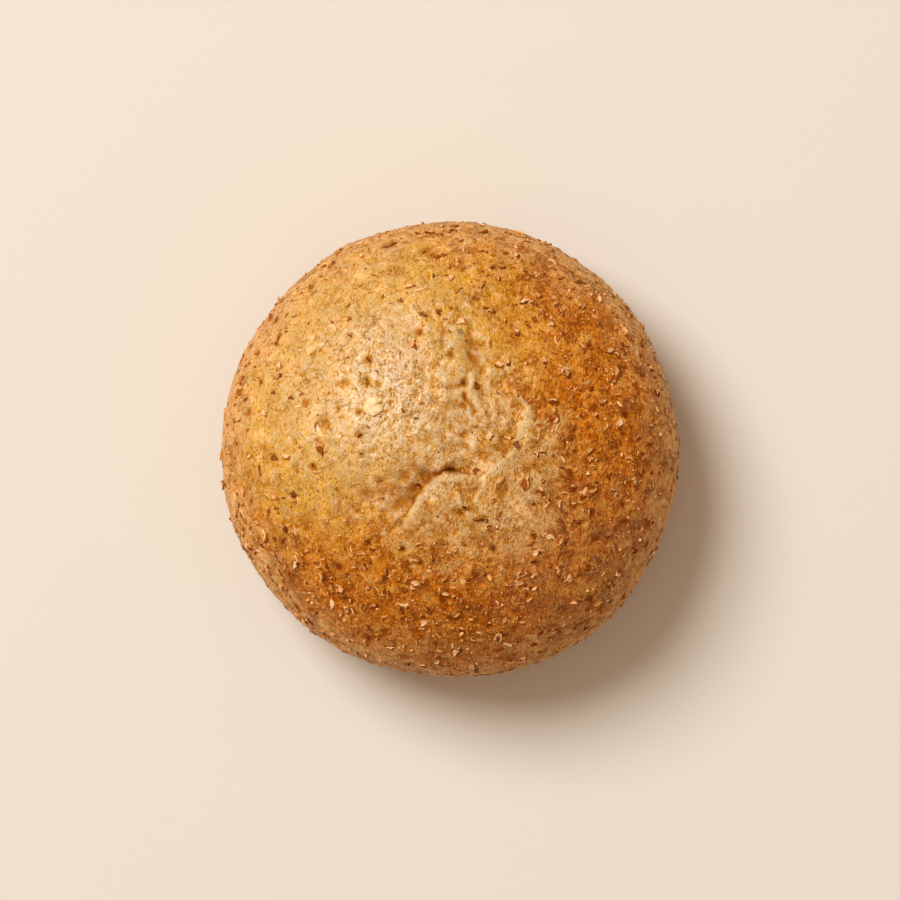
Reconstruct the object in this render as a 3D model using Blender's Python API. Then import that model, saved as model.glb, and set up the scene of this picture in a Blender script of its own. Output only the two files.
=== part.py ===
"""A whole wheat roll: one round bun with a flat foot, a creased top and bran flakes baked into its crust."""

import math
import random
from dataclasses import dataclass

import bmesh
import bpy
import numpy as np
from mathutils import Matrix, Vector, noise

MM = 0.001

# The whole roll. X points right, Y points away, and the foot lies on Z = 0.
WIDTH = 100 * MM
HEIGHT = 54 * MM
FOOT_WIDTH = 72 * MM
BELLY_HEIGHT = 20 * MM  # where the roll is widest
DOME_FULLNESS = 2.06  # 2 is an ellipse, more is squarer
SIDE_FULLNESS = 2.3

# Lobes round the belly: how many, how far they stand out, and the direction of one in degrees
LOBES = ((2, 0.23 * MM, -42), (3, 0.20 * MM, -48), (4, 0.09 * MM, 20), (9, 0.11 * MM, -2))

# Bumps all over the crust: how far apart, and how high
BUMPS = ((30 * MM, 0.55 * MM), (9 * MM, 0.20 * MM), (4 * MM, 0.09 * MM))

FOLD_FADE_HEIGHT = 11 * MM  # height above the belly over which the folds reach their full depth
FOOT_FADE_HEIGHT = 5 * MM  # height above the foot over which the bumps reach theirs
QUARTER_STEPS = 120
PROFILE_STEPS = 400
CRUST_SUBDIVISIONS = 7
CRUST_FACES = 5600

FLAKE_COUNT = 138
FLAKE_SEED = 7
FLAKE_SIDES = 6
FLAKE_LENGTH = (1.6 * MM, 3.0 * MM)
FLAKE_SLENDERNESS = (0.42, 0.75)
FLAKE_THICKNESS = 1.0 * MM
FLAKE_PROUD = 0.38 * MM
FLAKE_TILT = 9  # degrees
FLAKE_TAPER = 0.78  # width of a flake's top over its base
FLAKE_RAGGEDNESS = 0.16  # how far a corner strays, as a share of the flake's half width
FLAKE_JITTER = 0.03
LOWEST_FLAKE = -0.34  # height of the last flake's direction from the middle, on a unit ball
PALE_SHARE = 0.6
SCRAP_VOLUME = 20 * MM**3

# Base colour and roughness of each finish, in the order of the material slots
FINISHES = (
    ("baked crust", (0.60, 0.30, 0.085, 1), 0.48),
    ("pale bran", (0.74, 0.52, 0.27, 1), 0.70),
    ("dark bran", (0.27, 0.105, 0.035, 1), 0.62),
)
PALE_BRAN, DARK_BRAN = 1, 2


@dataclass
class Fold:
    """A crease (depth above 0) or a ridge (below 0) along a path in plan, with a width for each bank."""

    path: tuple
    depth: float
    left: float
    right: float
    sharpness: float = 1.0  # 1 is round, 2 is a sharp V


@dataclass
class Dimple:
    """A round hollow (depth above 0) or swelling (below 0) in plan."""

    x: float
    y: float
    radius: float
    depth: float


@dataclass
class Flake:
    """One flake that is large enough to have its own place: its middle in plan, size and heading in degrees."""

    x: float
    y: float
    length: float
    width: float
    heading: float


def in_mm(*pairs):
    return tuple((x * MM, y * MM) for x, y in pairs)


# Across the top: the long crease, whose far bank is gentle and whose near bank is steep
LONG_CREASE = Fold(
    in_mm((-13.6, -17.4), (-9.1, -12.2), (-5.7, -7.2), (-1.7, -4.7), (5.6, -4.8)),
    depth=1.7 * MM, left=3.6 * MM, right=1.5 * MM, sharpness=1.5,
)
CREASE_TROUGH = Fold(
    in_mm((-21, -9.5), (-12, -8), (-5, -6)),
    depth=0.8 * MM, left=5 * MM, right=4 * MM,
)
UPPER_FURROW = Fold(
    in_mm((5.4, 25.5), (6.0, 20.5), (7.0, 16.4)),
    depth=1.1 * MM, left=1.6 * MM, right=2.2 * MM,
)
CROSS_FURROW = Fold(
    in_mm((-3.6, 14.0), (0, 14.2), (3.1, 14.9)),
    depth=0.8 * MM, left=1.3 * MM, right=1.3 * MM,
)
PANEL_EDGE = Fold(
    in_mm((2.8, 14.6), (3.4, 10.7), (3.0, 6.0), (3.6, 2.0)),
    depth=1.0 * MM, left=1.2 * MM, right=2.6 * MM, sharpness=1.4,
)
PLEAT = Fold(
    in_mm((5.2, 17.0), (4.6, 13.4), (6.2, 10.2)),
    depth=-0.9 * MM, left=1.4 * MM, right=1.1 * MM,
)
RIGHT_BANK = Fold(
    in_mm((14.6, 12.0), (17.0, 7.6), (15.8, 2.6), (12.2, -1.6), (8.7, -5.6)),
    depth=-1.0 * MM, left=4.0 * MM, right=1.5 * MM,
)
TOP_CRACK = Fold(
    in_mm((-1.9, 27.2), (-1.8, 23.2)),
    depth=0.5 * MM, left=0.9 * MM, right=0.9 * MM, sharpness=1.5,
)
FOLDS = (
    LONG_CREASE, CREASE_TROUGH, UPPER_FURROW, CROSS_FURROW, PANEL_EDGE, PLEAT, RIGHT_BANK, TOP_CRACK,
)
FOLD_STEPS = 40
FOLD_FADE = 0.16  # share of its length over which a fold dies out at each end

DIMPLES = (
    Dimple(6 * MM, 5 * MM, 13 * MM, 0.9 * MM),  # the sunken middle of the folds
    Dimple(4.6 * MM, -0.6 * MM, 4.2 * MM, 0.7 * MM),
    Dimple(0.5 * MM, 24.8 * MM, 2.4 * MM, -0.5 * MM),
    Dimple(-27.5 * MM, 5.8 * MM, 1.6 * MM, 0.8 * MM),
    Dimple(-10.6 * MM, -21.2 * MM, 1.2 * MM, 1.0 * MM),
    Dimple(21.1 * MM, 4.3 * MM, 1.6 * MM, 0.5 * MM),
    Dimple(-23.1 * MM, 14.4 * MM, 1.5 * MM, 0.45 * MM),
    Dimple(-17.4 * MM, 14.8 * MM, 1.7 * MM, 0.45 * MM),
)

OAT_FLAKE = Flake(-16.9 * MM, 9.4 * MM, 4.4 * MM, 3.8 * MM, 20)
LARGE_FLAKES = (
    OAT_FLAKE,
    Flake(2.0 * MM, 28.0 * MM, 3.0 * MM, 2.2 * MM, 10),
    Flake(15.1 * MM, -26.7 * MM, 3.4 * MM, 2.2 * MM, 35),
    Flake(17.0 * MM, -30.0 * MM, 2.4 * MM, 1.6 * MM, 70),
    Flake(36.2 * MM, -26.6 * MM, 3.2 * MM, 2.2 * MM, 60),
    Flake(25.3 * MM, -28.0 * MM, 3.0 * MM, 1.8 * MM, 15),
    Flake(17.4 * MM, 25.8 * MM, 3.6 * MM, 1.5 * MM, -25),
    Flake(29.0 * MM, -37.0 * MM, 2.8 * MM, 1.8 * MM, 120),
)


def clear_scene():
    for obj in list(bpy.data.objects):
        bpy.data.objects.remove(obj)


def make_materials():
    for name, colour, roughness in FINISHES:
        material = bpy.data.materials.new(name)
        material.use_nodes = True
        shader = material.node_tree.nodes["Principled BSDF"]
        shader.inputs["Base Color"].default_value = colour
        shader.inputs["Roughness"].default_value = roughness
        shader.inputs["Metallic"].default_value = 0


def add_finishes(mesh):
    """Gives a mesh every finish as a material slot, so that a slot's number means the same on each."""
    for name, _, _ in FINISHES:
        mesh.materials.append(bpy.data.materials[name])


def superellipse_quarter(half_width, half_height, fullness):
    """Points of a quarter of a superellipse, from the end of its height to the end of its width."""
    turn = np.linspace(0, math.pi / 2, QUARTER_STEPS)
    across = half_width * np.sin(turn) ** (2 / fullness)
    along = half_height * np.cos(turn) ** (2 / fullness)
    return across, along


def side_profile():
    """Radius and height of the plain crust from the middle of the top to the middle of the foot."""
    dome_r, dome_z = superellipse_quarter(WIDTH / 2, HEIGHT - BELLY_HEIGHT, DOME_FULLNESS)
    overhang = (WIDTH - FOOT_WIDTH) / 2
    side_r, side_z = superellipse_quarter(overhang, BELLY_HEIGHT, SIDE_FULLNESS)
    radius = np.concatenate([dome_r, side_r[-2::-1] + FOOT_WIDTH / 2, [0]])
    height = np.concatenate([dome_z + BELLY_HEIGHT, BELLY_HEIGHT - side_z[-2::-1], [0]])
    return radius, height


def profile_at(share):
    """Radius, height and outward slope of the profile at a share of its length, 0 at the top."""
    radius, height = side_profile()
    run = np.concatenate([[0], np.cumsum(np.hypot(np.diff(radius), np.diff(height)))])
    even = np.linspace(0, run[-1], PROFILE_STEPS)
    even_radius = np.interp(even, run, radius)
    even_height = np.interp(even, run, height)
    slope = np.arctan2(-np.gradient(even_height), np.gradient(even_radius))
    place = share * run[-1]
    return (np.interp(place, even, table) for table in (even_radius, even_height, slope))


def smooth_path(path, steps):
    """Points along a Catmull-Rom curve through the path's own points."""
    knots = np.array([path[0], *path, path[-1]])
    places = np.linspace(0, len(path) - 1, steps)
    first = np.minimum(places.astype(int), len(path) - 2)
    t = (places - first)[:, None]
    a, b, c, d = (knots[first + i] for i in range(4))
    return 0.5 * (2 * b + (c - a) * t + (2 * a - 5 * b + 4 * c - d) * t**2 + (3 * b - a - 3 * c + d) * t**3)


def fold_relief(fold, plan):
    """How far a fold lowers the crust at each place in plan."""
    curve = smooth_path(fold.path, FOLD_STEPS)
    heading = np.gradient(curve, axis=0)
    away = plan[:, None, :] - curve[None, :, :]
    distance = np.linalg.norm(away, axis=2)
    nearest = distance.argmin(axis=1)
    rows = np.arange(len(plan))
    offset = away[rows, nearest]
    ahead = heading[nearest]
    side = ahead[:, 0] * offset[:, 1] - ahead[:, 1] * offset[:, 0]
    width = np.where(side > 0, fold.left, fold.right)
    across = np.exp(-((distance[rows, nearest] / width) ** (2 / fold.sharpness)))
    along = nearest / (FOLD_STEPS - 1)
    fade = np.clip(np.minimum(along, 1 - along) / FOLD_FADE, 0, 1) ** 0.5
    return fold.depth * across * fade


def dimple_relief(dimple, plan):
    distance = np.linalg.norm(plan - (dimple.x, dimple.y), axis=1)
    return dimple.depth * np.exp(-((distance / dimple.radius) ** 2))


def bump_relief(points):
    """Gentle unevenness of the whole crust."""
    relief = np.zeros(len(points))
    for spacing, height in BUMPS:
        relief += [height * noise.noise(Vector(point) / spacing) for point in points]
    return relief


def crust_points(directions):
    """Places on the crust for directions from its middle, given as unit vectors."""
    share = np.arccos(np.clip(directions[:, 2], -1, 1)) / math.pi
    around = np.arctan2(directions[:, 1], directions[:, 0])
    radius, height, slope = profile_at(share)
    lobes = sum(out * np.cos(count * (around - math.radians(turn))) for count, out, turn in LOBES)
    radius = radius + lobes * radius / (WIDTH / 2)
    cosine, sine = np.cos(around), np.sin(around)
    plain = np.column_stack([radius * cosine, radius * sine, height])
    normal = np.column_stack([np.sin(slope) * cosine, np.sin(slope) * sine, np.cos(slope)])
    relief = bump_relief(plain)
    on_dome = np.clip((height - BELLY_HEIGHT) / FOLD_FADE_HEIGHT, 0, 1)
    for fold in FOLDS:
        relief -= on_dome * fold_relief(fold, plain[:, :2])
    for dimple in DIMPLES:
        relief -= on_dome * dimple_relief(dimple, plain[:, :2])
    above_foot = np.clip(height / FOOT_FADE_HEIGHT, 0, 1)
    return plain + normal * (relief * above_foot)[:, None]


def make_crust():
    """The bun itself, dense first and then reduced to few faces, which stay small in the folds."""
    bm = bmesh.new()
    bmesh.ops.create_icosphere(bm, subdivisions=CRUST_SUBDIVISIONS, radius=1)
    mesh = bpy.data.meshes.new("roll")
    bm.to_mesh(mesh)
    bm.free()
    directions = np.empty(len(mesh.vertices) * 3, np.float32)
    mesh.vertices.foreach_get("co", directions)
    points = crust_points(directions.reshape(-1, 3).astype(float))
    mesh.vertices.foreach_set("co", points.astype(np.float32).ravel())
    add_finishes(mesh)
    crust = bpy.data.objects.new("roll", mesh)
    bpy.context.scene.collection.objects.link(crust)
    reduce = crust.modifiers.new("fewer faces", "DECIMATE")
    reduce.ratio = CRUST_FACES / len(mesh.polygons)
    apply_modifiers(crust)
    return crust


def apply_modifiers(obj):
    graph = bpy.context.evaluated_depsgraph_get()
    made = bpy.data.meshes.new_from_object(obj.evaluated_get(graph))
    made.name = obj.name
    obj.modifiers.clear()
    obj.data = made


def flake_frame(place, normal, heading, tilt):
    """The matrix that lays a flake on the crust: turned in its own plane, then tilted a little."""
    upright = normal.to_track_quat("Z", "Y").to_matrix().to_4x4()
    turn = Matrix.Rotation(math.radians(heading), 4, "Z")
    lean = Matrix.Rotation(math.radians(tilt), 4, "Y")
    return Matrix.Translation(place) @ upright @ turn @ lean


def make_flake(name, frame, length, width, finish, rng, collection):
    """A thin ragged chip with sloping edges, mostly sunk in the crust."""
    bm = bmesh.new()
    bmesh.ops.create_cone(
        bm, cap_ends=True, segments=FLAKE_SIDES,
        radius1=0.5, radius2=0.5 * FLAKE_TAPER, depth=FLAKE_THICKNESS,
    )
    for vertex in bm.verts:
        vertex.co.xy *= 1 + rng.uniform(-FLAKE_RAGGEDNESS, FLAKE_RAGGEDNESS)
    size = Matrix.Diagonal((length, width, 1, 1))
    sink = Matrix.Translation((0, 0, FLAKE_PROUD - FLAKE_THICKNESS / 2))
    bmesh.ops.transform(bm, matrix=sink @ size, verts=bm.verts)
    for face in bm.faces:
        face.material_index = finish
    mesh = bpy.data.meshes.new(name)
    bm.to_mesh(mesh)
    bm.free()
    add_finishes(mesh)
    flake = bpy.data.objects.new(name, mesh)
    flake.matrix_world = frame
    collection.objects.link(flake)
    return flake


def spread_directions(count):
    """Evenly spread directions from the top down past the belly, by the golden angle."""
    for i in range(count):
        height = 1 - (i + 0.5) / count * (1 - LOWEST_FLAKE)
        turn = i * math.pi * (3 - math.sqrt(5))
        flat = math.sqrt(1 - height**2)
        yield Vector((flat * math.cos(turn), flat * math.sin(turn), height))


def make_flakes(crust, collection):
    """The large flakes at their own places, and the rest spread evenly over the crust."""
    rng = random.Random(FLAKE_SEED)
    for i, flake in enumerate(LARGE_FLAKES):
        start = Vector((flake.x, flake.y, 2 * HEIGHT))
        _, place, normal, _ = crust.ray_cast(start, Vector((0, 0, -1)))
        frame = flake_frame(place, normal, flake.heading, 0)
        make_flake(f"large flake {i}", frame, flake.length, flake.width, PALE_BRAN, rng, collection)
    middle = Vector((0, 0, BELLY_HEIGHT))
    for i, direction in enumerate(spread_directions(FLAKE_COUNT)):
        stray = Vector([rng.uniform(-FLAKE_JITTER, FLAKE_JITTER) for _ in range(3)])
        direction = (direction + stray).normalized()
        length = rng.uniform(*FLAKE_LENGTH)
        width = length * rng.uniform(*FLAKE_SLENDERNESS)
        heading = rng.uniform(0, 360)
        tilt = rng.uniform(-FLAKE_TILT, FLAKE_TILT)
        finish = PALE_BRAN if rng.random() < PALE_SHARE else DARK_BRAN
        _, place, normal, _ = crust.ray_cast(middle + direction * WIDTH, -direction)
        if near_large_flake(place):
            continue
        frame = flake_frame(place, normal, heading, tilt)
        make_flake(f"flake {i}", frame, length, width, finish, rng, collection)


def near_large_flake(place):
    """Whether a place is so near a large flake that a second flake would cross it."""
    gap = FLAKE_LENGTH[1]
    return any(
        math.hypot(place.x - flake.x, place.y - flake.y) < gap + flake.length / 2
        for flake in LARGE_FLAKES
    )


def fuse(crust, collection):
    """Joins the flakes to the crust as one body, and removes them as objects of their own."""
    union = crust.modifiers.new("fuse flakes", "BOOLEAN")
    union.operation = "UNION"
    union.operand_type = "COLLECTION"
    union.collection = collection
    union.solver = "MANIFOLD"
    apply_modifiers(crust)
    for flake in list(collection.objects):
        bpy.data.objects.remove(flake)
    bpy.data.collections.remove(collection)


def drop_scraps(crust):
    """Keeps only pieces above a scrap's volume, so that no crumb that came loose is left."""
    bm = bmesh.new()
    bm.from_mesh(crust.data)
    bmesh.ops.triangulate(bm, faces=bm.faces)
    left = set(bm.verts)
    while left:
        island = set()
        edge = {left.pop()}
        while edge:
            island |= edge
            edge = {e.other_vert(v) for v in edge for e in v.link_edges} - island
        left -= island
        faces = {face for v in island for face in v.link_faces}
        volume = sum(a.co.dot(b.co.cross(c.co)) for a, b, c in (face.verts for face in faces)) / 6
        if volume < SCRAP_VOLUME:
            bmesh.ops.delete(bm, geom=list(island), context="VERTS")
    bm.to_mesh(crust.data)
    bm.free()


def main():
    clear_scene()
    make_materials()
    crust = make_crust()
    flakes = bpy.data.collections.new("flakes")
    bpy.context.scene.collection.children.link(flakes)
    bpy.context.view_layer.update()
    make_flakes(crust, flakes)
    bpy.context.view_layer.update()
    fuse(crust, flakes)
    drop_scraps(crust)
    crust.data.shade_smooth()


main()
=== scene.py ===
# %% [markdown]
# # A whole wheat roll, seen from straight above
#
# The roll is one bun: a thin baked skin over a domed body, with creases where the dough was
# folded together, and bran flakes from the flour baked into it. This file dresses the packed
# solid of that bun. It makes a finer skin over the same form, lays real flakes on it, paints
# both with procedural finishes, and sets up a plain floor, soft lights and a camera.

import math
import random
from dataclasses import dataclass

import bmesh
import bpy
import numpy as np
from mathutils import Matrix, Vector, noise
from mathutils.bvhtree import BVHTree
from mathutils.kdtree import KDTree


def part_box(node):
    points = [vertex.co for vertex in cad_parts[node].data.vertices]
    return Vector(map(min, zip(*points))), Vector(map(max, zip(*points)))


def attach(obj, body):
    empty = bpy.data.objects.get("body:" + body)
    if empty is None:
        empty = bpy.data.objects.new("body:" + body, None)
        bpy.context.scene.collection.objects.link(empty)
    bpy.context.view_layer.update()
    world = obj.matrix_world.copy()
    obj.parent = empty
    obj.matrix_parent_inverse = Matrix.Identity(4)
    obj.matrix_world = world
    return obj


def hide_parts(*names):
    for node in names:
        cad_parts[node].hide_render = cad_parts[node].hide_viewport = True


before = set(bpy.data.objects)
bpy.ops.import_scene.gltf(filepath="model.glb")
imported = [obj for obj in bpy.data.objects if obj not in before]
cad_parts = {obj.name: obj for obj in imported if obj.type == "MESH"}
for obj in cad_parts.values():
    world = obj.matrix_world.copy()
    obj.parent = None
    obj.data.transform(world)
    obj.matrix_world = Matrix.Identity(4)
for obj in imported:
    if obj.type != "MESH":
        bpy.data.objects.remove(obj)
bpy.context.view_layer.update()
print("nodes:", sorted(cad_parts))

# %% [markdown]
# ## Sizes
#
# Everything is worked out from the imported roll's own box, so the skin always fits it. The box
# holds the flakes too, which stand a little proud at the belly, so they come off the width.
# Other sizes are shares of the width or height, or real sizes in millimetres.

# %% Sizes of the roll
MM = 0.001
FLAKES_PROUD = 0.3 * MM
low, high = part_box("roll")
WIDTH = (high.x - low.x + high.y - low.y) / 2 - 2 * FLAKES_PROUD
HEIGHT = high.z - low.z
BELLY_HEIGHT = 0.37 * HEIGHT
FOOT_WIDTH = 0.72 * WIDTH
DOME_FULLNESS = 2.06
SIDE_FULLNESS = 2.3
print(f"width {WIDTH / MM:.1f} mm, height {HEIGHT / MM:.1f} mm")

# %% [markdown]
# ## The form of a bun
#
# A bun rises into a dome and spreads over its foot. Its side view could be drawn by hand, but
# two quarters of a superellipse give it with a few numbers: one quarter from the top to the
# belly, one from the belly down to the flat foot. The table is spaced evenly along the curve,
# so a share from 0 (middle of the top) to 1 (middle of the foot) finds any place on it.

# %% The side profile
QUARTER_STEPS = 200
PROFILE_STEPS = 800


def superellipse_quarter(half_width, half_height, fullness):
    turn = np.linspace(0, math.pi / 2, QUARTER_STEPS)
    across = half_width * np.sin(turn) ** (2 / fullness)
    along = half_height * np.cos(turn) ** (2 / fullness)
    return across, along


def side_profile():
    """Radius, height and slope at places spaced evenly along the profile, and its whole length."""
    dome_r, dome_z = superellipse_quarter(WIDTH / 2, HEIGHT - BELLY_HEIGHT, DOME_FULLNESS)
    side_r, side_z = superellipse_quarter((WIDTH - FOOT_WIDTH) / 2, BELLY_HEIGHT, SIDE_FULLNESS)
    radius = np.concatenate([dome_r, side_r[-2::-1] + FOOT_WIDTH / 2, [0]])
    height = np.concatenate([dome_z + BELLY_HEIGHT, BELLY_HEIGHT - side_z[-2::-1], [0]])
    run = np.concatenate([[0], np.cumsum(np.hypot(np.diff(radius), np.diff(height)))])
    even = np.linspace(0, run[-1], PROFILE_STEPS)
    radius, height = np.interp(even, run, radius), np.interp(even, run, height)
    slope = np.arctan2(-np.gradient(height), np.gradient(radius))
    return radius, height, slope, run[-1]


PROFILE_R, PROFILE_Z, PROFILE_SLOPE, PROFILE_LENGTH = side_profile()
PROFILE_SHARE = np.linspace(0, 1, PROFILE_STEPS)
print(f"profile from top to middle of the foot: {PROFILE_LENGTH / MM:.0f} mm")

# %% [markdown]
# ## Folds and dimples
#
# Where the dough was gathered, its skin has creases with one steep and one gentle bank, pleats
# that stand up, and small hollows. Each could be sculpted, but a stroke says the same with few
# numbers: a path as seen from above, how deep it is, and how wide each bank is. A stroke can
# also darken its bottom. Partly that is because the creases of this roll are browner than their
# banks, and partly it is painted shade in cracks too narrow for the mesh to shade. On some slopes
# that turn away from the light, the darkening is only painted shade. With a stain below 0, a stroke
# pales its
# top instead: a painted highlight on banks and ridges that face the light.
#
# There are many strokes, so each is one row of a table, in millimetres. A fold's row says its
# depth (above 0 a crease, below 0 a pleat), the width of its left and right bank, its sharpness,
# its stain, which also holds painted shade and highlight, and then its path. A dimple's says its
# place, radius, depth and stain.

# %% The long crease and the hollow beside it
CREASE_PATH = (
    (-12.7, -17.2), (-9.8, -13.6), (-7.8, -10.2), (-5.1, -6.7), (-2.4, -5.0), (1.3, -4.4),
    (4.9, -4.8),
)
LONG_CREASE = (
    (1.9, 3.0, 0.9, 1.8, 0.35, *CREASE_PATH),
    (0.9, 0.45, 0.35, 1.5, 1.3, *CREASE_PATH[3:]),
    (0.5, 0.5, 0.4, 1.5, 0.9, *CREASE_PATH[:5]),
    (0.6, 3.5, 3.5, 1, 0.25, (-25, -10.5), (-14, -8.5), (-5, -6.5)),
    (0.1, 2.6, 2.2, 1, 0.4, (-15.0, -15.0), (-9.4, -8.6), (-5.0, -4.6)),
    (-0.4, 0.7, 1.6, 1, 0, (-2.6, -6.3), (0.4, -5.7), (3.4, -6.0)),
)
print(len(LONG_CREASE), "strokes along the long crease")

# %% The gathered middle of the top
MIDDLE_FOLDS = (
    (0.8, 2.0, 2.4, 1.3, 0.35, (4.0, 27.0), (5.2, 21.5), (6.6, 16.0)),
    (0.6, 0.5, 0.7, 1, 0.5, (3.4, 22.4), (4.8, 20.0), (7.0, 17.8), (7.4, 15.4)),
    (0.55, 0.8, 1.2, 1.4, 0.25, (-3.6, 14.2), (-0.2, 14.1), (4.4, 15.2)),
    (-0.8, 1.3, 0.9, 0.6, 0, (5.8, 18.3), (4.3, 14.4), (4.6, 12.4), (6.9, 7.8)),
    (0.8, 0.4, 0.5, 1.4, 0.8, (2.9, 13.6), (3.5, 11.4), (6.2, 7.8)),
    (0.9, 0.7, 2.3, 1.5, 0.2, (5.8, 9.2), (3.4, 6.8), (3.2, 4.5), (2.5, 1.6)),
    (0.5, 0.4, 0.6, 1.5, 0.6, (-1.9, 28.2), (-1.9, 22.3)),
    (-0.7, 1.4, 0.7, 1, 0, (8.0, 18.4), (8.6, 15.6)),
    (-0.5, 0.6, 0.9, 1, 0, (-1.6, 2.4), (1.0, 2.9), (3.6, 2.2)),
)
print(len(MIDDLE_FOLDS), "strokes in the middle")

# %% The bank on the right and the flaps under it
BANK_PATH = (
    (12.6, 13.4), (16.0, 9.8), (15.9, 6.4), (15.0, 3.4), (13.3, -0.5), (10.1, -3.4), (7.6, -5.8),
)
RIGHT_FOLDS = (
    (-1.0, 5.0, 1.0, 1, 0, *BANK_PATH),
    (-0.35, 1.6, 0.5, 1, 0, *BANK_PATH),
    (-0.5, 0.5, 0.6, 1, 0, (11.4, 5.4), (12.4, 6.6), (13.4, 7.9)),
    (-0.4, 0.6, 0.7, 1, 0, (9.0, 10.6), (9.6, 8.2), (8.8, 6.0)),
    (-0.7, 0.45, 1.1, 1, 0, (0.7, -8.2), (2.0, -10.4), (3.1, -12.6)),
    (-0.45, 1.3, 0.9, 1, 0, (7.7, -6.6), (6.6, -8.8), (5.0, -11.4)),
    (-0.4, 0.8, 0.8, 1, 0, (10.6, -6.6), (9.3, -9.2), (8.8, -12.0)),
    (0.35, 0.8, 0.6, 1, 0.2, (-9.6, -19.6), (-7.0, -16.4), (-4.0, -15.0)),
)
print(len(RIGHT_FOLDS), "strokes on the right")

# %% Painted highlights on ridges, and brown and shaded zones
# Painted highlights: a stain below 0 pales banks and ridges where they face the light.
PAINTED_RIDGE_HIGHLIGHTS = (
    (0.0, 0.9, 0.5, 1, -0.8, *BANK_PATH[:4]),
    (0.0, 0.7, 0.9, 1, -0.6, *BANK_PATH[4:]),
    (
        0.0, 0.7, 1.2, 1, -0.6,
        (-12.4, -19.2), (-9.0, -14.8), (-6.4, -10.9), (-3.8, -7.8), (-1.0, -6.4),
    ),
    (0.0, 0.4, 0.8, 1, -0.5, (-2.4, -6.6), (0.6, -5.9), (3.6, -6.1)),
    (-0.1, 0.8, 1.1, 1, -0.8, (5.6, 17.4), (4.3, 14.4), (5.3, 10.6), (6.4, 8.7)),
    (-0.2, 0.8, 0.8, 1, -1.0, (7.7, 18.2), (8.5, 16.2)),
    (0.0, 1.0, 1.2, 1, -0.6, (4.0, 8.4), (4.9, 5.4), (6.4, 2.4)),
    (0.0, 0.4, 0.5, 1, -0.7, (-0.6, 2.5), (1.6, 2.9), (3.9, 2.3)),
    (-0.1, 0.4, 0.4, 1, -0.7, (0.8, -8.2), (2.0, -10.4), (3.0, -12.5)),
    (0.0, 1.0, 0.8, 1, -0.6, (7.7, -6.6), (6.6, -8.8), (4.9, -11.5)),
    (-0.1, 0.6, 0.7, 1, -0.7, (9.2, -4.4), (7.0, -6.0), (5.4, -7.0)),
)
# The first zone, at the top, is a brown band. The other two are painted shade on faces that turn
# away from the light: one by the middle panel, one above the long crease.
BROWN_AND_SHADE_ZONES = (
    (0.1, 0.7, 0.7, 1, 0.6, (0.0, 27.2), (2.4, 27.6), (5.0, 27.2)),
    (0.0, 1.8, 0.3, 1, 0.3, (3.0, 13.0), (3.3, 9.0), (3.2, 3.4)),
    (0.0, 1.6, 2.0, 1, 0.3, (-19.0, -6.0), (-9.0, -4.0), (-1.0, -2.6)),
)
FOLDS = LONG_CREASE + MIDDLE_FOLDS + RIGHT_FOLDS + PAINTED_RIDGE_HIGHLIGHTS + BROWN_AND_SHADE_ZONES
print(len(FOLDS), "folds in all")

# %% Hollows, pits and lumps
DIMPLES = (
    (6, 5, 13, 0.9, 0), (4.6, -0.4, 3.8, 0.7, 0), (11.0, 1.6, 3.2, 0.5, 0),
    (3.4, -8.3, 2.4, 0.6, 0.1), (0.3, 25.2, 2.3, -0.6, -0.6), (4.0, -2.0, 1.3, -0.4, 0),
    (4.8, 6.9, 1.0, -0.5, 0), (4.4, 4.8, 0.9, -0.4, 0), (6.9, 5.6, 1.2, -0.45, 0),
    (6.1, 2.9, 1.0, -0.35, 0), (-14.0, -17.6, 0.9, -0.7, -0.8), (9.4, -12.3, 0.8, -0.5, -0.8),
    (2.8, 14.8, 0.8, 0.7, 0.9), (0.0, 21.0, 0.8, 0.7, 0.8), (3.8, 0.7, 0.6, 0.5, 0.9),
    (10.6, 0.2, 0.7, 0.5, 0.8), (2.1, -13.1, 0.8, 0.6, 0.8), (3.8, -12.6, 0.7, 0.5, 0.8),
    (-1.5, -7.5, 0.8, 0.4, 0.3), (-27.5, 5.8, 1.5, 0.9, 0.3), (-10.6, -21.2, 0.8, 1.0, 1.0),
    (-6.8, -24.2, 0.7, 0.8, 0.9), (21.1, 4.3, 1.5, 0.5, 0.5), (-23.1, 14.4, 1.1, 0.6, 0.2),
    (-18.3, 14.8, 1.2, 0.6, 0.25), (-15.6, 14.5, 0.7, 0.5, 0.3), (-24.4, 8.7, 0.6, 0.4, 0.6),
    (-19.8, 8.0, 0.6, 0.4, 0.7),
)
print(len(DIMPLES), "hollows and lumps")

# %% [markdown]
# ## From strokes to relief
#
# A stroke lowers the skin most along its path and fades out over both banks and at both ends.
# A clean curve would look carved, so the places are first shifted by noise, which makes every
# edge ragged like dried dough. The noise has a fixed seed, so each run gives the same roll.

# %% How much of a stroke each place gets
CURVE_STEPS = 150
REACH_WIDTHS = 3
TAPER_POWER = 0.6
END_WIDTH = 0.45


def smooth_path(path):
    """Points along a Catmull-Rom curve through the path's own points."""
    knots = np.array([path[0], *path, path[-1]])
    places = np.linspace(0, len(path) - 1, CURVE_STEPS)
    first = np.minimum(places.astype(int), len(path) - 2)
    t = (places - first)[:, None]
    a, b, c, d = (knots[first + i] for i in range(4))
    squared, cubed = 2 * a - 5 * b + 4 * c - d, 3 * b - a - 3 * c + d
    return 0.5 * (2 * b + (c - a) * t + squared * t**2 + cubed * t**3)


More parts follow.
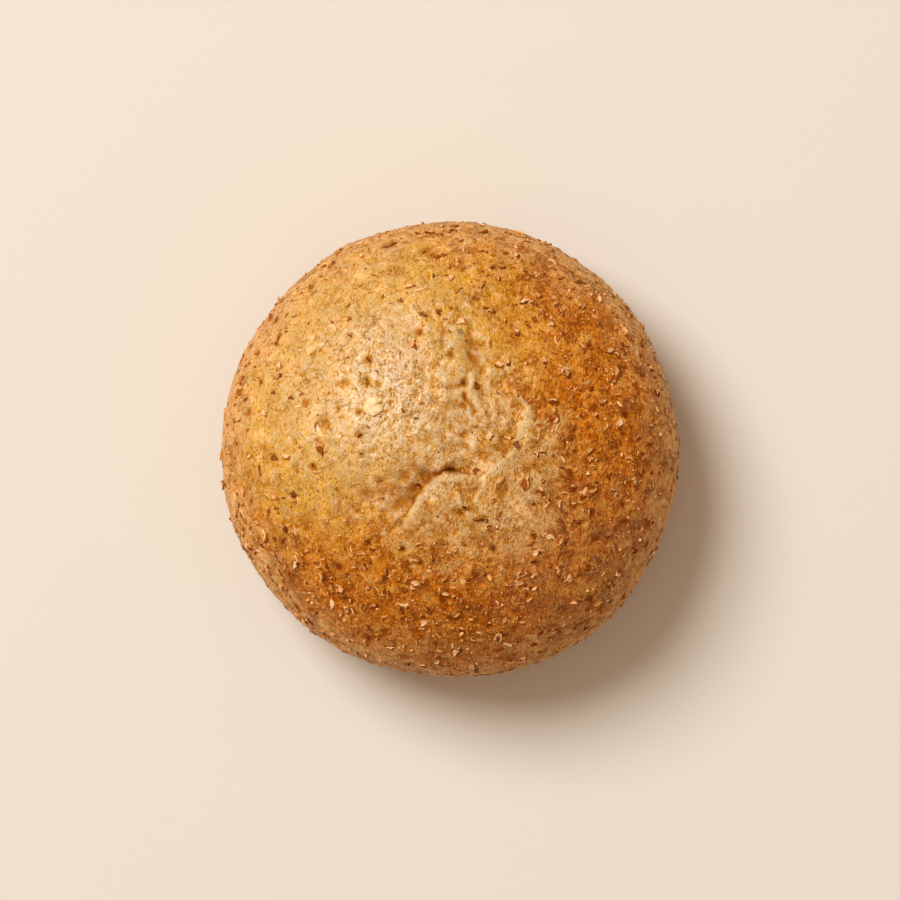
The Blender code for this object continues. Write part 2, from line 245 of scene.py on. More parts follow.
def fold_share(plan, left, right, sharpness, *path):
    """How much of a fold's depth each place in plan gets, from 0 to 1."""
    curve = smooth_path(path)
    reach = REACH_WIDTHS * max(left, right)
    near = np.all((plan > curve.min(0) - reach) & (plan < curve.max(0) + reach), axis=1)
    away = plan[near][:, None, :] - curve[None, :, :]
    distance = np.linalg.norm(away, axis=2)
    nearest = distance.argmin(axis=1)
    rows = np.arange(len(nearest))
    offset = away[rows, nearest]
    ahead = np.gradient(curve, axis=0)[nearest]
    side = ahead[:, 0] * offset[:, 1] - ahead[:, 1] * offset[:, 0]
    taper = np.sin(math.pi * (nearest + 1) / (CURVE_STEPS + 1)) ** TAPER_POWER
    width = np.where(side > 0, left, right) * (END_WIDTH + (1 - END_WIDTH) * taper)
    share = np.zeros(len(plan))
    share[near] = taper * np.exp(-((distance[rows, nearest] / width) ** (2 / sharpness)))
    return share


def dimple_share(plan, x, y, radius):
    return np.exp(-((np.linalg.norm(plan - (x, y), axis=1) / radius) ** 2))


# %% All strokes together
NOISE_SEED = 2
STROKE_BENDS = ((6 * MM, 0.6 * MM), (1.9 * MM, 0.34 * MM), (0.8 * MM, 0.16 * MM))
RAGGED_SPACING = 2.6 * MM
RAGGED_SHARE = 0.8
LEAST_DEEP, MOST_DEEP = 0.4, 1.5
STAIN_AND_LIGHT_POWER = 1.5
noise.seed_set(NOISE_SEED)


def noise_at(points, spacing):
    return np.array([noise.noise(point) for point in points / spacing])


def bend(points, *bends):
    """Places shifted by noise, once for each spacing and amount."""
    for spacing, amount in bends:
        shift = np.array([noise.noise_vector(point) for point in points / spacing])
        points = points + amount * shift
    return points


def stroke_shares(plan):
    """Each stroke's depth and stain, with painted shade and light, and how much each place gets."""
    for depth, left, right, sharpness, stain_and_painted_light, *path in FOLDS:
        yield depth, stain_and_painted_light, fold_share(plan, left, right, sharpness, *path)
    for x, y, radius, depth, stain_and_painted_light in DIMPLES:
        yield depth, stain_and_painted_light, dimple_share(plan, x, y, radius)


def fold_relief(points):
    """How far all strokes lower the skin, and how they stain it, with painted shade and light."""
    plan = bend(points, *STROKE_BENDS)[:, :2] / MM
    ragged = 1 + RAGGED_SHARE * noise_at(points, RAGGED_SPACING)
    ragged = np.clip(ragged, LEAST_DEEP, MOST_DEEP)
    lowered, stain_and_shade, painted_highlight = np.zeros((3, len(plan)))
    for depth, stain_and_painted_light, share in stroke_shares(plan):
        lowered += depth * MM * share
        stain_and_shade = np.maximum(stain_and_shade, stain_and_painted_light * share**STAIN_AND_LIGHT_POWER)
        painted_highlight = np.maximum(painted_highlight, -stain_and_painted_light * share**STAIN_AND_LIGHT_POWER)
    return lowered * ragged, (stain_and_shade - painted_highlight) * ragged


print("bends in mm:", [round(amount / MM, 2) for _, amount in STROKE_BENDS])

# %% [markdown]
# ## Unevenness and wrinkles
#
# Baked skin is never smooth. Broad swellings come from the dough, and fine wrinkles from the
# skin, which dries first and then creeps as the crumb sinks a little under it. Noise at a few
# spacings gives both. Folding the noise at zero, as |noise|, turns soft hills into a net of
# wrinkles with sharp valleys, and bending the places first keeps the net from looking even.
# Upside down and bent further, the same net gives the thin curved ridges, here called drapes,
# of the gathered middle. Noise squeezed one way gives the strands in one spot of it.

# %% Bumps all over, and drapes in the middle
BUMPS = ((30 * MM, 0.55 * MM), (9 * MM, 0.28 * MM), (4.2 * MM, 0.13 * MM))
DRAPES = ((5.2 * MM, -0.5 * MM), (2.6 * MM, -0.22 * MM))
DRAPE_BENDS = ((7 * MM, 3.0 * MM), (2.4 * MM, 0.5 * MM))
GATHERED_SPOT = (4, 4, 17)


def spot(points, x, y, radius):
    """1 inside a round spot in plan and 0 away from it; its place and radius are in mm."""
    distance = np.linalg.norm(points[:, :2] / MM - (x, y), axis=1)
    return np.exp(-((distance / radius) ** 4))


def ridged(points, layers):
    """Nets of wrinkles, one for each spacing and height."""
    return sum(height * np.abs(noise_at(points, spacing)) for spacing, height in layers)


def bump_relief(points):
    relief = sum(height * noise_at(points, spacing) for spacing, height in BUMPS)
    return relief + spot(points, *GATHERED_SPOT) * ridged(bend(points, *DRAPE_BENDS), DRAPES)


# %% Smoother spots, and a spot with strands
WRINKLED_SPACING = 7 * MM
USUAL_WRINKLED, WRINKLED_SWING = 0.6, 1.6
LEAST_WRINKLED, MOST_WRINKLED = 0.4, 1.2
SMOOTH_SPOTS = (
    (1.6, 7.8, 3.4), (4.4, -0.6, 3.6), (11.0, 1.8, 2.6), (0.4, 25.2, 2.2), (5.2, 19.6, 2.0),
)
SMOOTHED = 0.85
STRAND_SPOT = (-1.6, 8.6, 5.0)
STRAND_HEADING = math.radians(72)
STRAND_LENGTH, STRAND_WIDTH = 5.5, 0.7
STRAND_HEIGHT = 0.36 * MM


def how_wrinkled(points):
    """Some stretches of skin wrinkle more than others, and a few spots stay smooth."""
    uneven = USUAL_WRINKLED + WRINKLED_SWING * noise_at(points, WRINKLED_SPACING)
    share = np.clip(uneven, LEAST_WRINKLED, MOST_WRINKLED)
    share *= 0.6 + 0.15 * spot(points, *GATHERED_SPOT)
    for smooth_spot in SMOOTH_SPOTS:
        share *= 1 - SMOOTHED * spot(points, *smooth_spot)
    return share


def strand_relief(points):
    """Skin drawn out into strands: noise that is long one way and short the other."""
    cosine, sine = math.cos(STRAND_HEADING), math.sin(STRAND_HEADING)
    away = points[:, :2] / MM - STRAND_SPOT[:2]
    stretched = np.column_stack([
        (away[:, 0] * cosine + away[:, 1] * sine) / STRAND_LENGTH,
        (away[:, 1] * cosine - away[:, 0] * sine) / STRAND_WIDTH,
        np.zeros(len(points)),
    ])
    return STRAND_HEIGHT * spot(points, *STRAND_SPOT) * np.abs(noise_at(stretched, 1))


# %% [markdown]
# ## From the profile to the skin
#
# A share of the profile and a turn round the middle give any place on the bun. A real bun isn't
# quite round from above, so a few waves round its rim, here called lobes, change the radius.
# A golden angle spiral spreads any number of places evenly with no grid showing: each place is
# a fixed turn on from the last, and as far down the profile as keeps the same area for each.

# %% Places on the skin
# The number of waves round the rim, their height, and where one peaks in degrees.
TOP_LOBES = ((2, 0.23 * MM, -42), (3, 0.20 * MM, -48), (4, 0.09 * MM, 20), (9, 0.11 * MM, -2))
GOLDEN_TURN = math.pi * (3 - math.sqrt(5))


def plain_skin(share, around):
    """Places on the skin without any relief, and the way out from each."""
    radius, height, slope = (
        np.interp(share, PROFILE_SHARE, table) for table in (PROFILE_R, PROFILE_Z, PROFILE_SLOPE)
    )
    lobes = sum(
        out * np.cos(count * (around - math.radians(turn))) for count, out, turn in TOP_LOBES
    )
    radius = radius + lobes * radius / (WIDTH / 2)
    cosine, sine = np.cos(around), np.sin(around)
    plain = np.column_stack([radius * cosine, radius * sine, height])
    outward = np.column_stack([np.sin(slope) * cosine, np.sin(slope) * sine, np.cos(slope)])
    return plain, outward


def spread_evenly(count, lowest=1.0):
    """Shares and turns of places from the top down to a share of the profile."""
    index = np.arange(count)
    area = np.cumsum(PROFILE_R)
    area = area / np.interp(lowest, PROFILE_SHARE, area)
    return np.interp((index + 0.5) / count, area, PROFILE_SHARE), index * GOLDEN_TURN


# %% [markdown]
# ## Scales
#
# Between its wrinkles the skin isn't smooth either: it lies in small flat scales, each leaning
# its own way, with a sharp step to the next. Each scale is the stretch of skin nearest to one
# point of an even spiral that has strayed a little, so a search tree of these points finds the
# scale of every place fast.

# %% Scales and all wrinkles together
SCALES = ((2.6 * MM, 0.09), (1.2 * MM, 0.16))
SCALE_BENDS = ((1.6 * MM, 0.35 * MM),)
SCALE_SEED = 3
SCALE_STRAY = 0.4
SKIN_AREA = 17000 * MM**2
WRINKLES = ((3.2 * MM, 0.15 * MM), (1.5 * MM, 0.15 * MM), (0.9 * MM, 0.13 * MM))
WRINKLE_BENDS = ((8 * MM, 2.0 * MM), (2.4 * MM, 0.6 * MM))


def tree_of(places):
    tree = KDTree(len(places))
    for index, place in enumerate(places):
        tree.insert(place, index)
    tree.balance()
    return tree


def scale_relief(points):
    bent = bend(points, *SCALE_BENDS)
    rng = np.random.default_rng(SCALE_SEED)
    relief = np.zeros(len(points))
    for spacing, lean in SCALES:
        middles, _ = plain_skin(*spread_evenly(int(SKIN_AREA / spacing**2)))
        middles += rng.uniform(-SCALE_STRAY * spacing, SCALE_STRAY * spacing, middles.shape)
        leans = rng.normal(0, lean, middles.shape)
        tree = tree_of(middles)
        nearest = np.array([tree.find(point)[1] for point in bent])
        relief += np.einsum("ij,ij->i", leans[nearest], bent - middles[nearest])
    return relief


def wrinkle_relief(points):
    net = ridged(bend(points, *WRINKLE_BENDS), WRINKLES)
    scales = (0.7 + 0.1 * spot(points, *GATHERED_SPOT)) * scale_relief(points)
    return how_wrinkled(points) * (net + scales) + strand_relief(points)


print("scales:", [int(SKIN_AREA / spacing**2) for spacing, _ in SCALES])

# %% Bumps and folds together
FOOT_FADE_HEIGHT = 5 * MM
FOLD_FADE_HEIGHT = 11 * MM


def folded_skin(share, around):
    """Places with bumps and folds, the way out, 0 at foot to 1 above it, and stain and painted
    light.
    """
    plain, outward = plain_skin(share, around)
    height = plain[:, 2]
    on_dome = np.clip((height - BELLY_HEIGHT) / FOLD_FADE_HEIGHT, 0, 1)
    above_foot = np.clip(height / FOOT_FADE_HEIGHT, 0, 1)
    depth, stain_and_painted_light = fold_relief(plain)
    relief = (bump_relief(plain) - on_dome * depth) * above_foot
    return plain + outward * relief[:, None], outward, above_foot, stain_and_painted_light * on_dome


# %% [markdown]
# ## Where flakes lie
#
# Flour with bran in it gives flakes all over, each lying flat in the skin. They take their places
# from the same spiral, and a little seeded stray and some clumping make it look like chance.
# Fewer show on the crown, where the skin stretched smooth over them, low on the side, and on a
# quiet patch of the lower right.

# %% How many flakes show where
CROWN = Vector((-15 * MM, 12 * MM, HEIGHT))
CROWN_REACH = 28 * MM
SHOULDER_REACH = 42 * MM
QUIET = Vector((28 * MM, -25 * MM, 0.75 * HEIGHT))
QUIET_REACH = 18 * MM
LEAST_QUIET = 0.45
BARE_HEIGHT = 0.37 * HEIGHT
FLAKY_HEIGHT = 0.78 * HEIGHT
CLUMP_SPACING = 6 * MM
LEAST_CLUMP = 0.15
USUAL_CLUMP, CLUMP_SWING = 0.65, 1.3


def clamp(value, low=0, high=1):
    return min(max(value, low), high)


def how_flaky(place, on_crown, on_side):
    """The share of flakes kept at a place, from the shares kept on the crown and low down."""
    clump = USUAL_CLUMP + CLUMP_SWING * noise.noise(place / CLUMP_SPACING)
    share = clamp(clump, LEAST_CLUMP)
    high = clamp((place.z - BARE_HEIGHT) / (FLAKY_HEIGHT - BARE_HEIGHT))
    share *= on_side + (1 - on_side) * high
    share *= clamp((place - QUIET).length / QUIET_REACH, LEAST_QUIET)
    off_crown = (place - CROWN).length - CROWN_REACH
    shoulder = clamp(off_crown / (SHOULDER_REACH - CROWN_REACH))
    return share * (on_crown + (1 - on_crown) * shoulder)


# %% Scatter flakes
LOWEST_FLAKE = 0.72
STRAY = 2.2 * MM


@dataclass
class Flake:
    """Where a flake lies, its size and heading, and the darkest tone that it may have."""

    place: Vector
    length: float
    width: float
    heading: float
    least_tone: float = 0.0


def scatter(rng, count, sizes, slim, on_crown, on_side):
    """Seeded flakes from the top to just above the foot, with many more small ones."""
    smallest, largest = sizes
    for place in folded_skin(*spread_evenly(count, LOWEST_FLAKE))[0]:
        moved = Vector(place) + Vector([rng.uniform(-STRAY, STRAY) for _ in range(3)])
        length = smallest + (largest - smallest) * rng.random() ** 2
        flake = Flake(moved, length, length * rng.uniform(*slim), rng.uniform(0, 360))
        if rng.random() < how_flaky(moved, on_crown, on_side):
            yield flake


# %% Plan the brown bran before the skin is made
BROWN_COUNT = 3000
BROWN_SIZES = (0.5 * MM, 2.5 * MM)
BROWN_BRAN = [*scatter(
    random.Random(23), BROWN_COUNT, BROWN_SIZES, slim=(0.2, 0.5), on_crown=0.22, on_side=0.5
)]
print(len(BROWN_BRAN), "brown flakes")

# %% [markdown]
# ## Pits round the brown bran
#
# Bran soaks up water and shrinks as it dries, so each larger flake lies in a small pit with a
# soft rim. A tree of the flakes' places finds the nearest flake to any corner of the skin fast.

# %% Pit relief
PIT_SHARE = 0.62
PIT_DEPTH = 0.22 * MM
PIT_SMALLEST = 1.0 * MM
RIM_HEIGHT = 0.05 * MM
RIM_SHARE = 1.5
RIM_WIDTH = 0.45


def pit_relief(points):
    """How far pits lower the skin, and how near each place is to a flake, from 0 to 1."""
    large = [flake for flake in BROWN_BRAN if flake.length > PIT_SMALLEST]
    tree = tree_of([flake.place for flake in large])
    found = [tree.find(point) for point in points]
    radius = PIT_SHARE * np.array([large[index].length for _, index, _ in found])
    share = np.array([distance for _, _, distance in found]) / radius
    pit = np.exp(-(share**2))
    rim = np.exp(-(((share - RIM_SHARE) / RIM_WIDTH) ** 2))
    return PIT_DEPTH * pit - RIM_HEIGHT * rim, pit


print(sum(flake.length > PIT_SMALLEST for flake in BROWN_BRAN), "pits")

# %% [markdown]
# ## The skin as a mesh
#
# A ball of latitude rings would crowd its faces in one point at the top, right under the camera.
# A cube whose faces are cut into an even grid and then blown up into a ball has faces of nearly
# one size all over, so the wrinkles come out alike everywhere. Each corner's direction gives its
# place on the profile, and the top, with its fine folds, gets smaller faces than the foot. Each
# corner also keeps three numbers for the finish. The first is how far it stands above the skin
# round it, which the finish turns into painted shade in hollows and painted highlight on ridges.
# The second is how stained it is, with the strokes' painted shade and highlight. The third is how
# near a flake lies.

# %% A ball with an even grid
GRID_CUTS = 127


def cube_directions(mesh):
    """Unit directions of the corners of a gridded cube, spaced evenly by angle."""
    corners = np.empty(len(mesh.vertices) * 3, np.float32)
    mesh.vertices.foreach_get("co", corners)
    even = np.tan(corners.reshape(-1, 3).astype(float) * math.pi / 4)
    return even / np.linalg.norm(even, axis=1)[:, None]


def gridded_cube(name, cuts):
    bm = bmesh.new()
    bmesh.ops.create_cube(bm, size=2)
    bmesh.ops.subdivide_edges(bm, edges=bm.edges, cuts=cuts, use_grid_fill=True)
    mesh = bpy.data.meshes.new(name)
    bm.to_mesh(mesh)
    bm.free()
    return mesh


print("faces:", 6 * (GRID_CUTS + 1) ** 2)

# %% Numbers kept on the corners


def add_values(mesh, name, values):
    """Keeps one number for each corner, which a finish can read by name."""
    kept = mesh.attributes.new(name, "FLOAT", "POINT")
    kept.data.foreach_set("value", np.asarray(values, np.float32))


def local_average(mesh, values, rounds):
    """Values smoothed over each corner's neighbours, a few rounds of it."""
    ends = np.empty(len(mesh.edges) * 2, np.int32)
    mesh.edges.foreach_get("vertices", ends)
    first, second = ends[::2], ends[1::2]
    count = len(values)
    neighbours = np.bincount(ends, minlength=count)
    for _ in range(rounds):
        total = np.bincount(first, values[second], count)
        values = (total + np.bincount(second, values[first], count)) / neighbours
    return values


# %% Build the skin
TOP_DENSITY = 0.5
LIFT_ROUNDS = 12
LIFT_SCALE = 0.15 * MM


def add_object(name, data):
    made = bpy.data.objects.new(name, data)
    bpy.context.scene.collection.objects.link(made)
    return made


def make_skin():
    mesh = gridded_cube("crust", GRID_CUTS)
    directions = cube_directions(mesh)
    turn = np.arccos(np.clip(directions[:, 2], -1, 1)) / math.pi
    share = turn * (TOP_DENSITY + (1 - TOP_DENSITY) * turn)
    around = np.arctan2(directions[:, 1], directions[:, 0])
    places, outward, above_foot, stain_and_painted_light = folded_skin(share, around)
    pits, near_flake = pit_relief(places)
    relief = (wrinkle_relief(places) - pits) * above_foot
    points = places + outward * relief[:, None]
    mesh.vertices.foreach_set("co", points.astype(np.float32).ravel())
    from_plain = np.einsum("ij,ij->i", points - plain_skin(share, around)[0], outward)
    # The lift colours the finish: painted shade in hollows, painted highlight on ridges.
    lift = (from_plain - local_average(mesh, from_plain, LIFT_ROUNDS)) / LIFT_SCALE
    add_values(mesh, "lift", np.clip(lift, -1, 1))
    add_values(mesh, "stain_and_painted_light", stain_and_painted_light)
    add_values(mesh, "bran", near_flake)
    mesh.shade_smooth()
    return add_object("crust", mesh)


crust = make_skin()
SKIN_TREE = BVHTree.FromPolygons(
    [v.co for v in crust.data.vertices], [tuple(p.vertices) for p in crust.data.polygons]
)
print("crust:", len(crust.data.vertices), "points,", 2 * len(crust.data.polygons), "triangles")

# %% Find a place on the skin
LEAST_AHEAD = 0.1


def place_in_plan(x, y):
    """The place and normal of the skin under a point in plan."""
    place, normal, _, _ = SKIN_TREE.ray_cast(Vector((x, y, 2 * HEIGHT)), Vector((0, 0, -1)))
    return place, normal


def lay_frame(place, normal, heading, tilt):
    """Lays a flake on the skin: turned to its heading, from +X in plan, then tilted a little."""
    ahead = Vector((0, 1, 0)).cross(normal)
    if ahead.length < LEAST_AHEAD:
        ahead = Vector((1, 0, 0))
    ahead.normalize()
    upright = Matrix((ahead, normal.cross(ahead), normal)).transposed().to_4x4()
    turn = Matrix.Rotation(math.radians(heading), 4, "Z")
    lean = Matrix.Rotation(math.radians(tilt), 4, "Y")
    return Matrix.Translation(place) @ upright @ turn @ lean


print("the top is at", round(place_in_plan(0, 0)[0].z / MM, 1), "mm")

# %% [markdown]
# ## One flake
#
# A bran flake is a ragged scrap of the grain's thin outer coat, cupped like a tiny leaf. Three
# rings of points make one: a raised inner ring, a ragged rim, and a skirt sunk in the crust, so
# that no gap shows under it. All flakes of one kind go into one mesh, because thousands of small
# objects would be slow, and each keeps a tone of its own as a value on its points.

# %% A bran flake's points and faces
FLAKE_SIDES = 9
RAGGED_RIM = (0.5, 1.15)
UNEVEN_RISE = (0.4, 1.4)
MOST_CURL = 1.1
INNER_RING = 0.55
SKIRT_DEPTH = 0.4 * MM
SKIRT_SHARE = 0.92


def bran_flake(rng, length, width, thickness, cup, sides):
    """Points and faces of one ragged, curled flake on Z = 0; a cup below 0 makes a dome."""
    ragged = [rng.uniform(*RAGGED_RIM) for _ in range(sides)]
    lift = [rng.uniform(*UNEVEN_RISE) for _ in range(sides)]
    curl = rng.uniform(-MOST_CURL, MOST_CURL) / length
    points = [(0, 0, thickness - cup)]
    for share, height in ((INNER_RING, thickness - 0.6 * cup), (1.0, thickness)):
        for i in range(sides):
            angle = 2 * math.pi * i / sides
            x = 0.5 * length * share * ragged[i] * math.cos(angle)
            y = 0.5 * width * share * ragged[i] * math.sin(angle)
            points.append((x, y + curl * x * x, height * lift[i]))
    for x, y, _ in points[-sides:]:
        points.append((SKIRT_SHARE * x, SKIRT_SHARE * y, -SKIRT_DEPTH))
    return points, ring_faces(3, sides)


def ring_faces(rings, sides):
    """Faces of a form made of rings round a middle point: a fan, bands, and a closing face."""
    faces = [(0, 1 + i, 1 + (i + 1) % sides) for i in range(sides)]
    for ring in range(rings - 1):
        start = 1 + ring * sides
        for i in range(sides):
            j = (i + 1) % sides
            faces.append((start + i, start + sides + i, start + sides + j, start + j))
    last = 1 + (rings - 1) * sides
    faces.append(tuple(last + i for i in reversed(range(sides))))
    return faces


# %% Many small pieces as one mesh
SMOOTH_ANGLE = math.radians(40)


def one_piece(name, forms):
    """Makes one object of many small forms, each given with its matrix and its points' tones."""
    points, faces, tones = [], [], []
    for (form_points, form_faces), matrix, form_tones in forms:
        start = len(points)
        points += [matrix @ Vector(point) for point in form_points]
        faces += [tuple(start + i for i in face) for face in form_faces]
        tones += form_tones
    mesh = bpy.data.meshes.new(name)
    mesh.from_pydata(points, [], faces)
    add_values(mesh, "tone", tones)
    mesh.shade_smooth()
    mesh.set_sharp_from_angle(angle=SMOOTH_ANGLE)
    print(name, len(mesh.vertices), "points,", len(mesh.polygons), "faces")
    return add_object(name, mesh)


# %% [markdown]
# ## Pale and brown bran
#
# Two kinds show: pale chips of the inner coat, nearly cream, which stick up a little and catch
# the light, and red-brown scraps of the outer one, which lie flat in their pits. Both run from
# under a millimetre to about three, with many more small ones than large, and grains finer than
# a millimetre fill the gaps. The largest pale ones have places of their own, because they stand
# out on this roll. Each pale chip lies on a slightly larger brown one, shifted to the lower
# right. That brown flake is a painted shadow, and it goes into the same mesh as the brown scraps.

# %% Places for the large pale flakes and their painted shadows
LARGE_TONE = 0.85
# Place, length and width in mm, and heading in degrees.
LARGE_PALE = (
    (2.0, 28.0, 2.2, 1.7, 10),
    (15.1, -26.7, 3.2, 1.5, 35),
    (14.8, -28.6, 1.8, 1.0, 20),
    (16.3, -29.6, 1.9, 1.1, -15),
    (18.2, -29.6, 1.5, 0.9, 60),
    (36.2, -26.6, 2.6, 1.9, 60),
    (25.3, -28.0, 2.8, 1.6, 60),
    (12.2, 19.0, 1.9, 1.0, 70),
)
# The painted shadow's shift: to the lower right, away from the light.
SHADOW_SHIFT = Vector((0.25 * MM, -0.25 * MM, 0))
SHADOW_LARGER = 1.2


def large_pale():
    for x, y, length, width, heading in LARGE_PALE:
        place, _ = place_in_plan(x * MM, y * MM)
        yield Flake(place, length * MM, width * MM, heading, LARGE_TONE)


def painted_shadows(flakes):
    """A slightly larger brown flake under each, shifted to the lower right as its painted shadow.
    """
    for flake in flakes:
        larger = SHADOW_LARGER * flake.length, SHADOW_LARGER * flake.width
        yield Flake(flake.place + SHADOW_SHIFT, *larger, flake.heading)


# %% Lay the bran flakes
PALE_COUNT = 3000
PALE_SIZES = (0.7 * MM, 3.0 * MM)
GRAIN_COUNT = 6000
GRAIN_SIZES = (0.35 * MM, 1.0 * MM)
GRAIN_SIDES = 6
LEAST_HEIGHT = 2.5 * MM
UNEVEN_THICKNESS = (0.5, 1.3)
MOST_CUPPED = 0.8


def on_skin(flakes):
    """Each flake with the place and normal under it; those at the foot's edge are left out."""
    for flake in flakes:
        place, normal, _, _ = SKIN_TREE.find_nearest(flake.place)
        if place.z >= LEAST_HEIGHT:
            yield flake, place, normal


def bran_forms(flakes, seed, thickness, tilt, rim_darker, sides=FLAKE_SIDES):
    """Flakes of a thickness in mm, each tilted a little and darker at its rim."""
    rng = random.Random(seed)
    for flake, place, normal in on_skin(flakes):
        rise = thickness * MM * rng.uniform(*UNEVEN_THICKNESS)
        cup = rise * rng.uniform(-MOST_CUPPED, MOST_CUPPED)
        form = bran_flake(rng, flake.length, flake.width, rise, cup, sides)
        tone = max(rng.random(), flake.least_tone)
        tones = [tone] * (1 + sides) + [tone - rim_darker] * (2 * sides)
        yield form, lay_frame(place, normal, flake.heading, rng.gauss(0, tilt)), tones


small_pale = scatter(
    random.Random(11), PALE_COUNT, PALE_SIZES, slim=(0.25, 0.6), on_crown=0.2, on_side=0.1
)
grains = scatter(
    random.Random(41), GRAIN_COUNT, GRAIN_SIZES, slim=(0.4, 0.9), on_crown=0.15, on_side=0.08
)
pale_flakes = [*large_pale(), *small_pale]
# The brown mesh holds the brown bran and the pale chips' painted shadows.
brown_and_shadow_flakes = [*BROWN_BRAN, *painted_shadows(pale_flakes)]
pale_forms = bran_forms(pale_flakes, seed=12, thickness=0.36, tilt=14, rim_darker=0.3)
brown_and_shadow_forms = bran_forms(brown_and_shadow_flakes, seed=24, thickness=0.14, tilt=8, rim_darker=0.1)
grain_forms = bran_forms(
    grains, seed=42, thickness=0.22, tilt=12, rim_darker=0.3, sides=GRAIN_SIDES
)
pale_bran = one_piece("pale_bran", pale_forms)
brown_bran_and_shadows = one_piece("brown_bran_and_shadows", brown_and_shadow_forms)
bran_grains = one_piece("bran_grains", grain_forms)

# %% [markdown]
# ## The oat flake
#
# One rolled oat landed on the top. It is a flat oval the size of a lentil, cream, with the
# grain's crease along its middle and the skin crinkled. It gets more rings than a bran flake,
# because its top is seen up close.

# %% Make the oat flake
OAT_RINGS = 7
OAT_SIDES = 28
OAT_X, OAT_Y = -16.6 * MM, 9.5 * MM
OAT_LENGTH, OAT_WIDTH, OAT_RISE = 4.7 * MM, 4.2 * MM, 0.75 * MM
OAT_HEADING = 22
OAT_CRINKLE = 1.1 * MM
CREASE_DEPTH = 0.4 * MM
CREASE_WIDTH = 0.2 * MM
CREASE_FADE = 1.2 * MM
NOTCH_DEPTH, NOTCH_WIDTH = 0.16, 0.1
OAT_RAGGED_RIM = (0.93, 1.05)
OAT_SKIRT_SHARE = 0.9


def oat_form(rng):
    """Points, faces and tones of a flat oval, creased along its middle and notched at one end."""
    points, tones = [(0, 0, OAT_RISE)], [0.2]
    ragged = [rng.uniform(*OAT_RAGGED_RIM) for _ in range(OAT_SIDES)]
    for ring in range(1, OAT_RINGS + 1):
        share = ring / OAT_RINGS
        for i in range(OAT_SIDES):
            angle = 2 * math.pi * i / OAT_SIDES
            notch = 1 - NOTCH_DEPTH * math.exp(-((math.sin(angle / 2) / NOTCH_WIDTH) ** 2))
            reach = share * ragged[i] * notch
            x = 0.5 * OAT_LENGTH * reach * math.cos(angle)
            y = 0.5 * OAT_WIDTH * reach * math.sin(angle)
            crease = math.exp(-((y / CREASE_WIDTH) ** 2)) * clamp(0.5 + x / CREASE_FADE)
            crinkle = noise.noise(Vector((x, y, 0)) / OAT_CRINKLE)
            top = OAT_RISE * (1 - 0.5 * share**4 + 0.25 * crinkle)
            points.append((x, y, top - CREASE_DEPTH * crease))
            # Painted shade: the tone is darker in the crease, toward the rim and in the crinkles'
            # hollows.
            tones.append(0.9 - 0.8 * crease - 0.45 * share**4 + 0.5 * crinkle)
    for x, y, _ in points[-OAT_SIDES:]:
        points.append((OAT_SKIRT_SHARE * x, OAT_SKIRT_SHARE * y, -SKIRT_DEPTH))
        tones.append(0)
    return (points, ring_faces(OAT_RINGS + 1, OAT_SIDES)), tones


oat_place, oat_normal = place_in_plan(OAT_X, OAT_Y)
form, tones = oat_form(random.Random(5))
oat_matrix = lay_frame(oat_place, oat_normal, OAT_HEADING, tilt=0)
oat_flake = one_piece("oat_flake", [(form, oat_matrix, tones)])

# %% [markdown]
# ## Husk slivers
#
# Slivers of husk lie curled on the skin like tiny clippings. Each is a thin strip swept along an
# arc, high in its middle and low at both ends.

# %% A husk sliver's points and faces
HUSK_STEPS = 7
HUSK_WIDTHS = (0.2, 0.42)
HUSK_ARCS = (0.4, 2.2)
HUSK_RISE = 0.2 * MM
HUSK_END_WIDTH = 0.25
HUSK_ABOVE, HUSK_BELOW = 0.03 * MM, 0.3 * MM


def husk_form(rng, length):
    """A thin strip along an arc."""
    width = rng.uniform(*HUSK_WIDTHS) * MM
    arc = rng.uniform(*HUSK_ARCS)
    radius = length / arc
    points, faces = [], []
    for step in range(HUSK_STEPS + 1):
        share = step / HUSK_STEPS
        angle = arc * (share - 0.5)
        swell = math.sin(math.pi * share)
        rise = HUSK_RISE * swell
        half = width * (HUSK_END_WIDTH + (1 - HUSK_END_WIDTH) * swell) / 2
        for side in (-1, 1):
            reach = radius + side * half
            x, y = reach * math.sin(angle), reach * math.cos(angle) - radius
            points += [(x, y, rise + HUSK_ABOVE), (x, y, rise - HUSK_BELOW)]
    for step in range(HUSK_STEPS):
        a = 4 * step
        b = a + 4
        faces += [(a, a + 2, b + 2, b), (a + 2, a + 3, b + 3, b + 2)]
        faces += [(a + 3, a + 1, b + 1, b + 3), (a + 1, a, b, b + 1)]
    end = 4 * HUSK_STEPS
    faces += [(0, 1, 3, 2), (end, end + 2, end + 3, end + 1)]
    return points, faces


# %% Lay the husk slivers
HUSK_COUNT = 420
HUSK_SIZES = (1.2 * MM, 3.4 * MM)
HUSK_TILT = 5


def husk_forms():
    rng = random.Random(31)
    husks = scatter(rng, HUSK_COUNT, HUSK_SIZES, slim=(0.1, 0.2), on_crown=0.5, on_side=0.2)
    for husk, place, normal in on_skin(husks):
        matrix = lay_frame(place, normal, husk.heading, rng.gauss(0, HUSK_TILT))
        form = husk_form(rng, husk.length)
        yield form, matrix, [rng.random()] * len(form[0])


husk_slivers = one_piece("husk_slivers", husk_forms())

# %% [markdown]
# ## Finishes as expressions
#
# A shader is a formula, so it reads best as one. A link stands for the output of a node, and
# adding or multiplying links adds the Math nodes for it. Every other node comes from one method,
# which sets the node's own settings first, because some of them change its sockets.

# %% A link that takes part in sums


